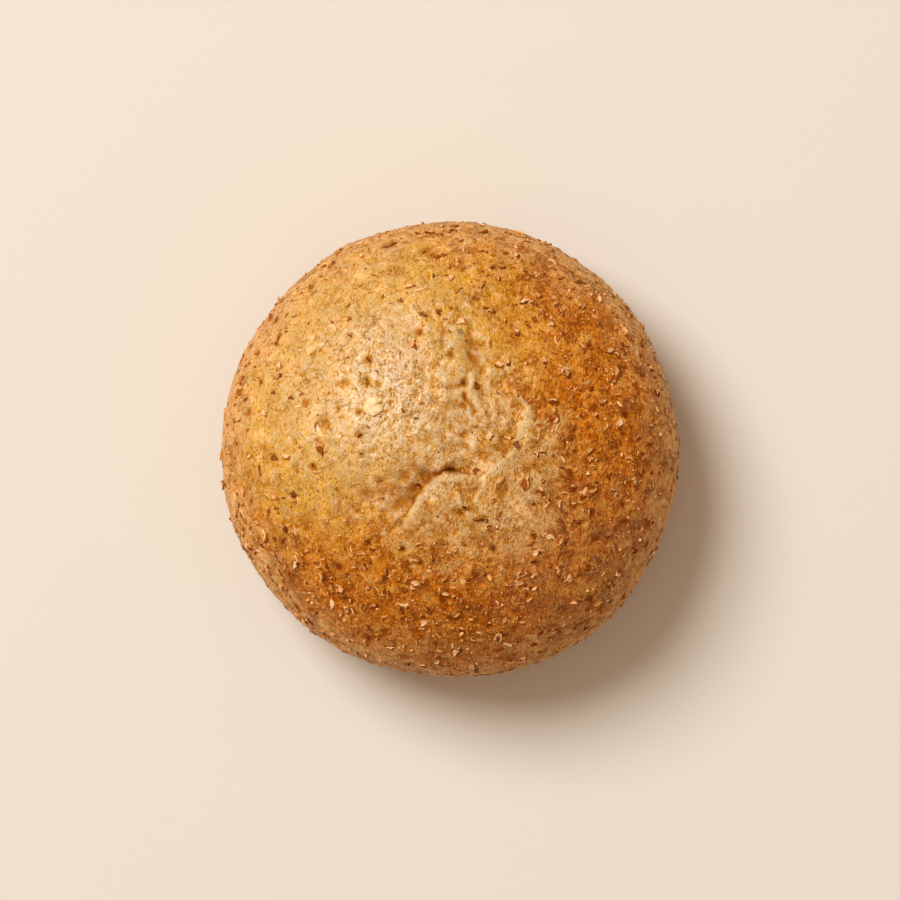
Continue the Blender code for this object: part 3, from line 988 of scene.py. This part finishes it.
class Link:
    """The output of a shader node. Sums and products of links add their own Math nodes."""

    def __init__(self, finish, socket):
        self.finish = finish
        self.socket = socket

    def math(self, operation, *inputs):
        return self.finish.node("ShaderNodeMath", {"operation": operation}, dict(enumerate(inputs)))

    def __add__(self, other):
        return self.math("ADD", self, other)

    def __sub__(self, other):
        return self.math("SUBTRACT", self, other)

    def __rsub__(self, other):
        return self.math("SUBTRACT", other, self)

    def __mul__(self, other):
        return self.math("MULTIPLY", self, other)

    __radd__ = __add__
    __rmul__ = __mul__

    def __abs__(self):
        return self.math("ABSOLUTE", self)

    def also(self, name):
        """Another output of the same node."""
        return Link(self.finish, self.socket.node.outputs[name])


# %% Nodes, all made by one method


class Nodes:
    """A material's node tree."""

    def __init__(self, name):
        self.material = bpy.data.materials.new(name)
        self.material.use_nodes = True
        self.tree = self.material.node_tree
        self.tree.nodes.clear()

    def node(self, kind, settings=None, sockets=None, out=0):
        """Adds a node: its settings first, then the values or links of its sockets."""
        made = self.tree.nodes.new(kind)
        for name, value in (settings or {}).items():
            setattr(made, name, value)
        for name, value in (sockets or {}).items():
            socket = made.inputs[name]
            if isinstance(value, Link):
                self.tree.links.new(value.socket, socket)
            else:
                socket.default_value = (*value, 1) if socket.type == "RGBA" else value
        return Link(self, made.outputs[out]) if made.outputs else None

    def ramp(self, share, colours):
        """A colour ramp with its colours spread evenly from 0 to 1."""
        picked = self.node("ShaderNodeValToRGB", None, {"Fac": share})
        elements = picked.socket.node.color_ramp.elements
        while len(elements) < len(colours):
            elements.new(1)
        for index, colour in enumerate(colours):
            elements[index].position = index / (len(colours) - 1)
            elements[index].color = (*colour, 1)
        return picked


# %% Short names for the usual nodes


class Finish(Nodes):
    """A material, with a short name for each kind of node that it uses."""

    def place(self):
        return self.node("ShaderNodeTexCoord", out="Object")

    def along(self, place, axis):
        return self.node("ShaderNodeSeparateXYZ", None, {0: place}, axis)

    def vector(self, operation, *inputs, out=0):
        settings = {"operation": operation}
        return self.node("ShaderNodeVectorMath", settings, dict(enumerate(inputs)), out)

    def distance(self, where, middle):
        return self.vector("DISTANCE", where, middle, out="Value")

    def noise(self, where, spacing, detail=2, roughness=0.5):
        sockets = {
            "Vector": where, "Scale": 1 / spacing, "Detail": detail, "Roughness": roughness,
        }
        return self.node("ShaderNodeTexNoise", None, sockets)

    def cells(self, where, spacing):
        return self.node("ShaderNodeTexVoronoi", None, {"Vector": where, "Scale": 1 / spacing})

    def bend(self, where, spacing, amount):
        """Places shifted by noise, to make what is drawn at them ragged."""
        shift = self.noise(where, spacing).also("Color")
        return self.vector("MULTIPLY_ADD", shift, (amount,) * 3, where)

    def value(self, name):
        """A number kept on the piece's own points."""
        return self.node("ShaderNodeAttribute", {"attribute_name": name}, out="Fac")

    def grade(self, value, start, end, low=0.0, high=1.0):
        """A smooth step from low to high as value goes from start to end."""
        names = ("Value", "From Min", "From Max", "To Min", "To Max")
        sockets = dict(zip(names, (value, start, end, low, high)))
        return self.node("ShaderNodeMapRange", {"interpolation_type": "SMOOTHSTEP"}, sockets)

    def mix(self, share, first, second):
        sockets = {0: share, 6: first, 7: second}
        return self.node("ShaderNodeMix", {"data_type": "RGBA"}, sockets, out=2)

    def layers(self, colour, *layers):
        """Colours laid over the first in turn, each with its own share."""
        for share, over in layers:
            colour = self.mix(share, colour, over)
        return colour

    def bump(self, height, distance):
        return self.node("ShaderNodeBump", None, {"Height": height, "Distance": distance})

    def finish(self, piece, sockets):
        """The surface itself, put on a piece."""
        shader = self.node("ShaderNodeBsdfPrincipled", None, sockets)
        self.node("ShaderNodeOutputMaterial", None, {"Surface": shader})
        piece.data.materials.clear()
        piece.data.materials.append(self.material)
        print(self.material.name, len(self.tree.nodes), "nodes")


# %% [markdown]
# ## The crust's colours
#
# Crust is gold where it is thin, on the crown, and amber to brown on the shoulder, which the
# oven browned longest. The gold is also centred toward the lit upper left, so it is partly
# painted light. The side, which the heat reached last, is tan, and brighter than its crust as
# painted bounce light from the floor. A distance from the palest place and a height give those
# three, and noise keeps their borders uneven. The gathered middle stays paler, and the quiet patch
# is dusky. A cream spot where the coat's sheen peaks is a painted highlight. Each colour is then a
# layer with a share of its own.

# %% Colours of the crust
GOLD = (0.96, 0.46, 0.045)
DEEP_GOLD = (0.62, 0.20, 0.006)
AMBER = (0.87, 0.225, 0.004)
DEEP_AMBER = (0.37, 0.068, 0.001)
# The side's tan is brighter than its crust, as painted bounce light from the floor.
SIDE_TAN = (1.0, 0.475, 0.13)
PALE_AMBER = (1.0, 0.45, 0.07)
FOOT_BROWN = (0.36, 0.15, 0.04)
PALE_GOLD = (1.0, 0.64, 0.33)
# Cream for painted highlights: at the sheen spot, and on banks and ridges that face the light.
HIGHLIGHT_CREAM = (1.0, 0.64, 0.29)
# Crease bottoms: browner crust, and painted shade in cracks too narrow for the mesh to shade.
CREASE_BROWN = (0.24, 0.055, 0.002)
# Orange stain in patches, and painted shade on the strokes' slopes that face away from the light.
STAIN_AND_SHADE_ORANGE = (0.58, 0.18, 0.008)
BRAN_BROWN = (0.43, 0.09, 0.005)
BRAN_DARK = (0.17, 0.022, 0.001)
SMOKE_BROWN = (0.27, 0.105, 0.045)
DUSK_BROWN = (0.60, 0.25, 0.10)
DOT_CREAM = (1.0, 0.58, 0.18)
# The palest place lies toward the light at the upper left: its gold is partly painted light.
LIT_PALEST = Vector((-26 * MM, 22 * MM, HEIGHT))
# Where the coat's sheen peaks; the colour gets a painted highlight in the same spot.
SHEEN = Vector((-22 * MM, 17 * MM, HEIGHT))
GATHERED_MIDDLE = Vector((4.5 * MM, -4.5 * MM, HEIGHT))
GOLD_REACH = 27 * MM
AMBER_REACH = 56 * MM
BORDER_STRAY = 30 * MM
BORDER_SPACING = 9 * MM
LEVEL_SPACING = 7 * MM
PATCH_SPACING = 4.5 * MM
SMOKE_SPACING = 4.3 * MM

print("palest place:", [round(v / MM) for v in LIT_PALEST], "mm")

# %% Where each colour lies


def baked_colour(f, place, bent):
    """Gold crown, amber shoulder, tan side and brown foot, with deeper and smokier patches."""
    stray = (f.noise(bent, BORDER_SPACING, 4, 0.6) - 0.5) * BORDER_STRAY
    gathered = f.grade(f.distance(place, GATHERED_MIDDLE) + stray * 0.8, 27 * MM, 10 * MM)
    # Gold fades to amber away from the palest place: partly the crust's own gold, partly painted
    # light.
    off_crown = f.grade(f.distance(place, LIT_PALEST) + stray, GOLD_REACH, AMBER_REACH)
    off_crown = off_crown * (1 - gathered * 0.8)
    uneven = (f.noise(bent, LEVEL_SPACING, 4, 0.6) - 0.5) * 0.5
    level = f.along(place, "Z") * (1 / HEIGHT) + uneven
    side = f.grade(level, 0.79, 0.53)
    shoulder = off_crown * (1 - side * 0.8)
    southern = f.grade(f.along(place, "Y"), -23 * MM, -42 * MM, 0, 0.4) * (1 - side)
    smoky = f.grade(f.distance(place, QUIET), 28 * MM, 8 * MM) * (1 - side * 0.8)
    smoke = f.grade(f.noise(bent, SMOKE_SPACING, 4, 0.68), 0.55, 0.67)
    sheen = f.grade(f.distance(place, SHEEN), 10 * MM, 40 * MM, 1.0, 0.0)
    patches = f.noise(bent, PATCH_SPACING, 5, 0.66)
    deep = f.grade(patches, 0.49, 0.60)
    colour = f.layers(
        GOLD,
        (off_crown, AMBER),
        (side, SIDE_TAN),
        (deep * side * 0.4, STAIN_AND_SHADE_ORANGE),
        (deep * (shoulder * 0.7 + 0.15), DEEP_AMBER),
        (f.grade(patches, 0.47, 0.36, 0, 0.85) * shoulder, PALE_AMBER),
        (southern, DEEP_AMBER),
        (smoke * shoulder * (smoky * 0.4 + 0.35), SMOKE_BROWN),
        (smoky * f.grade(patches, 0.42, 0.56, 0.25, 0.45), DUSK_BROWN),
        (gathered * f.grade(patches, 0.53, 0.43, 0.15, 0.6), PALE_GOLD),
        (gathered * f.grade(patches, 0.50, 0.58) * 0.5, STAIN_AND_SHADE_ORANGE),
        # A painted highlight: cream where the coat's sheen peaks.
        (sheen * 0.33, HIGHLIGHT_CREAM),
        (f.grade(level, 0.05, -0.05, 0, 0.9), FOOT_BROWN),
    )
    return colour, shoulder, gathered, sheen


# %% [markdown]
# ## Specks under the skin
#
# Bran under the skin shows as red-brown specks, no two alike. Voronoi cells give one speck a
# cell; the cell's random colour decides whether it has one and how large it is, and bending the
# places by noise first makes the outlines ragged.

# %% Specks and dots


def specks(f, where, spacing, rarity, largest):
    """How deep inside a speck a place is. Only cells whose chance is over rarity have one."""
    cell = f.cells(where, spacing)
    chance = f.node("ShaderNodeSeparateColor", None, {0: cell.also("Color")})
    return f.grade(chance, rarity, 1, 0, largest) - cell


# %% [markdown]
# ## Crumpled scales
#
# Close up, the skin looks like crumpled tissue: small flat scales, each leaning its own way, so
# some catch the light and their neighbours don't. A Voronoi cell knows its middle and has a
# colour of its own. Taken as a direction, that colour tilts the cell, which gives each scale one
# flat face and a sharp step to the next.

# %% Scales


def scales(f, where, spacing):
    """The height of small tilted scales, about -0.5 to 0.5, and a tone for each, 0 to 1."""
    cell = f.cells(where, spacing)
    away = f.vector("SUBTRACT", where, cell.also("Position"))
    lean = f.vector("SUBTRACT", cell.also("Color"), (0.5,) * 3)
    height = f.vector("DOT_PRODUCT", away, lean, out="Value")
    tone = f.node("ShaderNodeSeparateColor", None, {0: cell.also("Color")}, out="Green")
    return height * (1 / spacing), tone


# %% [markdown]
# ## Hairline cracks
#
# Dry skin cracks in thin curved lines. Where noise crosses its middle value it draws just such
# lines, so its distance from that value gives them, and a second noise leaves some stretches
# whole.

# %% Cracks
CRACK_WIDTH = 0.018


def cracks(f, where, spacing):
    """1 on thin curved lines and 0 off them, in some stretches."""
    line = f.grade(abs(f.noise(where, spacing, 3, 0.55) - 0.5), CRACK_WIDTH, 0)
    return line * f.grade(f.noise(where, 1.3 * spacing), 0.48, 0.56)


# %% [markdown]
# ## The crust's finish
#
# The pieces above now come together. Fine noise, drawn at places that are bent and then squeezed
# one way, runs in strands like torn dough. With the real height of the mesh it says what is
# raised. Valleys and cracks get the deep colour as painted shade, and ridges the pale one as
# painted highlight, over the noise's own mottle. Specks, pits and stains lie over that, with the
# strokes' painted shade and highlight. Gloss comes from a thin coat on raised, clean skin only, as
# shine would veil dark parts.

# %% Put the crust's finish together
FINE_SPACING = 0.6 * MM
GRAIN_SPACING = 0.27 * MM
SCALE_SPACING, SMALL_SCALE_SPACING = 1.6 * MM, 0.8 * MM
CRACK_SPACING = 2.4 * MM
SPECK_SPACING, SMALL_SPECK_SPACING, DOT_SPACING = 4.0 * MM, 2.2 * MM, 1.5 * MM
ROUGHNESS = 0.33
COAT_ROUGHNESS = 0.42
COAT_IOR = 1.85
FAINT_SHINE = 0.04
BUMP_HEIGHT = 1 * MM


def crust_finish():
    f = Finish("baked_crust")
    place = f.place()
    bent = f.bend(f.bend(place, 2.6 * MM, 1.6 * MM), 0.7 * MM, 0.5 * MM)
    stain_and_painted_light, lift, near_bran = f.value("stain_and_painted_light"), f.value("lift"), f.value("bran")
    baked, shoulder, gathered, sheen = baked_colour(f, place, bent)

    scale, _ = scales(f, bent, SCALE_SPACING)
    small_scale, small_tone = scales(f, bent, SMALL_SCALE_SPACING)
    drawn = f.vector("MULTIPLY", f.bend(place, 12 * MM, 9 * MM), (1, 0.4, 0.4))
    mottle = f.noise(f.bend(drawn, 0.7 * MM, 0.5 * MM), FINE_SPACING, 4, 0.7) - 0.5
    grain = f.noise(drawn, GRAIN_SPACING, 3, 0.75) - 0.5
    crack = cracks(f, bent, CRACK_SPACING)
    grainy = grain * (gathered * 0.8 + shoulder * 0.4 + 2.4)
    fine = mottle * 1.6 + grainy + (small_tone - 0.5) * 0.35
    raised = lift * 0.33 + fine - crack * 0.7

    ragged = f.bend(bent, 0.9 * MM, 1.7 * MM)
    speck = specks(f, ragged, SPECK_SPACING, 0.5, 0.26)
    in_speck = f.grade(speck, 0, 0.06)
    in_small = f.grade(specks(f, ragged, SMALL_SPECK_SPACING, 0.6, 0.22), 0, 0.07)
    dot = f.grade(specks(f, bent, DOT_SPACING, 0.5, 0.2), 0, 0.07)
    pit = f.grade(near_bran + mottle, 0.35, 0.9)
    uneven_stain_and_shade = stain_and_painted_light + mottle * 0.5 * f.grade(stain_and_painted_light, 0.0, 0.1)
    stain_and_shade = f.grade(uneven_stain_and_shade, 0.35, 1.0)
    colour = f.layers(
        baked,
        # Painted shade and highlight: hollows and cracks of the skin get the deep colour, ridges
        # the pale one.
        (f.grade(raised, 0.0, -0.6, 0, 0.95), f.mix(shoulder, DEEP_GOLD, DEEP_AMBER)),
        (f.grade(raised, 0.0, 0.6, 0, 0.95), f.mix(shoulder, PALE_GOLD, PALE_AMBER)),
        (dot * (0.6 - shoulder * 0.2), DOT_CREAM),
        (in_small * 0.75, BRAN_BROWN),
        (
            in_speck * f.grade(mottle + speck, -0.15, 0.15, 0.3, 0.95),
            f.mix(f.grade(mottle, -0.1, 0.15), BRAN_DARK, BRAN_BROWN),
        ),
        (pit * 0.45, BRAN_BROWN),
        # From the strokes: orange and crease brown, partly painted shade in creases and on slopes
        # away from the light, and cream as a painted highlight on banks that face it.
        (f.grade(uneven_stain_and_shade, 0.02, 0.5, 0, 0.85), STAIN_AND_SHADE_ORANGE),
        (f.grade(stain_and_painted_light - raised * 0.5, -0.1, -0.8, 0, 0.7), HIGHLIGHT_CREAM),
        (stain_and_shade * 0.95, CREASE_BROWN),
    )

    height = scale * 0.6 + small_scale * 0.5 + mottle * 0.65 + grain * 0.5
    height = height - crack * 0.14 - in_speck * 0.2 - in_small * 0.12
    dull = in_speck + in_small + pit * 0.3 + stain_and_shade + crack * 0.5
    glossy = f.grade(raised - dull, -0.5, 0.3)
    f.finish(crust, {
        "Base Color": colour,
        "Roughness": ROUGHNESS + (small_tone - 0.5) * 0.2 + dull * 0.5,
        "Normal": f.bump(height, BUMP_HEIGHT),
        "Specular IOR Level": FAINT_SHINE,
        "Coat Weight": (sheen * 0.6 + gathered * 0.1 + 0.07) * glossy,
        "Coat Roughness": COAT_ROUGHNESS,
        "Coat IOR": COAT_IOR,
    })


crust_finish()

# %% [markdown]
# ## Finishes of the flakes
#
# Each flake kind has a ramp from its darkest to its lightest tone. The flake's own tone picks a
# place on the ramp, and fine fibres shift it a little, so no two flakes are quite the same.

# %% Finish each kind of flake
PALE_TONES = ((0.46, 0.15, 0.015), (0.84, 0.40, 0.13), (1.0, 0.66, 0.36))
GRAIN_TONES = ((0.60, 0.17, 0.01), (0.88, 0.38, 0.09), (1.0, 0.62, 0.28))
BROWN_TONES = ((0.14, 0.026, 0.002), (0.34, 0.08, 0.008), (0.56, 0.18, 0.025))
OAT_TONES = ((0.38, 0.16, 0.03), (0.76, 0.48, 0.19), (0.92, 0.66, 0.36))
HUSK_TONES = ((0.36, 0.12, 0.02), (0.80, 0.43, 0.15), (0.98, 0.68, 0.36))
FIBRE_HEIGHT = 0.08 * MM


def flake_finish(name, piece, tones, spacing, roughness, shine):
    """Puts tones on flakes, with fibres at a spacing."""
    f = Finish(name)
    fibre = f.noise(f.place(), spacing, 4, 0.6)
    colour = f.ramp(f.value("tone") * 0.8 + fibre * 0.6 - 0.2, tones)
    f.finish(piece, {
        "Base Color": colour,
        "Roughness": roughness + (fibre - 0.5) * 0.3,
        "Normal": f.bump(fibre, FIBRE_HEIGHT),
        "Specular IOR Level": shine,
    })


flake_finish("pale_bran_coat", pale_bran, PALE_TONES, 0.4 * MM, roughness=0.42, shine=0.25)
flake_finish("brown_bran_coat", brown_bran_and_shadows, BROWN_TONES, 0.35 * MM, roughness=0.6, shine=0.04)
flake_finish("bran_grain_coat", bran_grains, GRAIN_TONES, 0.3 * MM, roughness=0.45, shine=0.2)
flake_finish("rolled_oat", oat_flake, OAT_TONES, 0.7 * MM, roughness=0.5, shine=0.3)
flake_finish("husk_fibre", husk_slivers, HUSK_TONES, 0.4 * MM, roughness=0.42, shine=0.2)

# %% [markdown]
# ## Tie the pieces to the frame
#
# The roll has no joints, so everything rides on its one body. The fine skin stands for the
# imported solid, which then isn't drawn.

# %% Ride on the body, and hide the imported solid
for piece in (crust, pale_bran, brown_bran_and_shadows, bran_grains, oat_flake, husk_slivers):
    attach(piece, "root")
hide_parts("roll")

# %% [markdown]
# ## Floor, light and camera
#
# The roll lies on a plain warm paper floor. One large soft light stands to the upper left, and
# a weak warm one above and a warm sky fill the shadow. The camera looks straight down through a
# long lens from far above, so the top isn't drawn much larger than the belly.

# %% The floor
FLOOR_HALF = 3.0
FLOOR_COLOUR = (0.765, 0.675, 0.58)

corners = [(x * FLOOR_HALF, y * FLOOR_HALF, 0) for x, y in ((-1, -1), (1, -1), (1, 1), (-1, 1))]
sheet = bpy.data.meshes.new("floor")
sheet.from_pydata(corners, [], [(0, 1, 2, 3)])
floor = add_object("floor", sheet)
paper = {"Base Color": FLOOR_COLOUR, "Roughness": 0.9, "Specular IOR Level": 0.2}
Finish("pale_paper").finish(floor, paper)

# %% The lights
WINDOW_DISTANCE = 3.2
WINDOW_WIDTH = 2 * WINDOW_DISTANCE * math.tan(math.radians(14.5))
# Name, direction in plan and from straight up in degrees, distance, width, watts and colour.
LIGHTS = (
    ("window", 137, 37, WINDOW_DISTANCE, WINDOW_WIDTH, 105, (0.90, 0.97, 1.0)),
    ("ceiling", 0, 0, 2.2, 3.2, 8.8, (1.0, 0.82, 0.62)),
)


def direction(azimuth, from_top):
    a, t = math.radians(azimuth), math.radians(from_top)
    return Vector((math.sin(t) * math.cos(a), math.sin(t) * math.sin(a), math.cos(t)))


for name, azimuth, from_top, distance, width, power, colour in LIGHTS:
    data = bpy.data.lights.new(name, "AREA")
    data.shape = "DISK"
    data.size = width
    data.energy = power
    data.color = colour
    light = add_object(name, data)
    towards = direction(azimuth, from_top)
    light.location = towards * distance
    light.rotation_euler = towards.to_track_quat("Z", "Y").to_euler()
    print(f"{name}: {width:.2f} m wide, {distance} m away, {power} W")

# %% The sky
SKY_COLOUR = (1.0, 0.81, 0.62)
SKY_STRENGTH = 0.315

world = bpy.data.worlds.new("sky")
world.use_nodes = True
background = world.node_tree.nodes["Background"]
background.inputs["Color"].default_value = (*SKY_COLOUR, 1)
background.inputs["Strength"].default_value = SKY_STRENGTH
bpy.context.scene.world = world
bpy.context.scene.view_settings.view_transform = "Standard"

# %% The camera
PICTURE = 900
ROLL_RADIUS_PX = 227.5
ROLL_CENTRE_PX = (451, 450.5)
CAMERA_HEIGHT = 1.4
SENSOR = 36

metres_per_pixel = WIDTH / 2 / ROLL_RADIUS_PX
seen = PICTURE * metres_per_pixel
lens = bpy.data.cameras.new("camera")
lens.sensor_width = SENSOR
lens.lens = SENSOR * (CAMERA_HEIGHT - BELLY_HEIGHT) / seen
camera = add_object("camera", lens)
camera.location = (
    (PICTURE / 2 - ROLL_CENTRE_PX[0]) * metres_per_pixel,
    (ROLL_CENTRE_PX[1] - PICTURE / 2) * metres_per_pixel,
    CAMERA_HEIGHT,
)
bpy.context.scene.camera = camera
print(f"lens {lens.lens:.0f} mm, picture {seen / MM:.0f} mm wide")
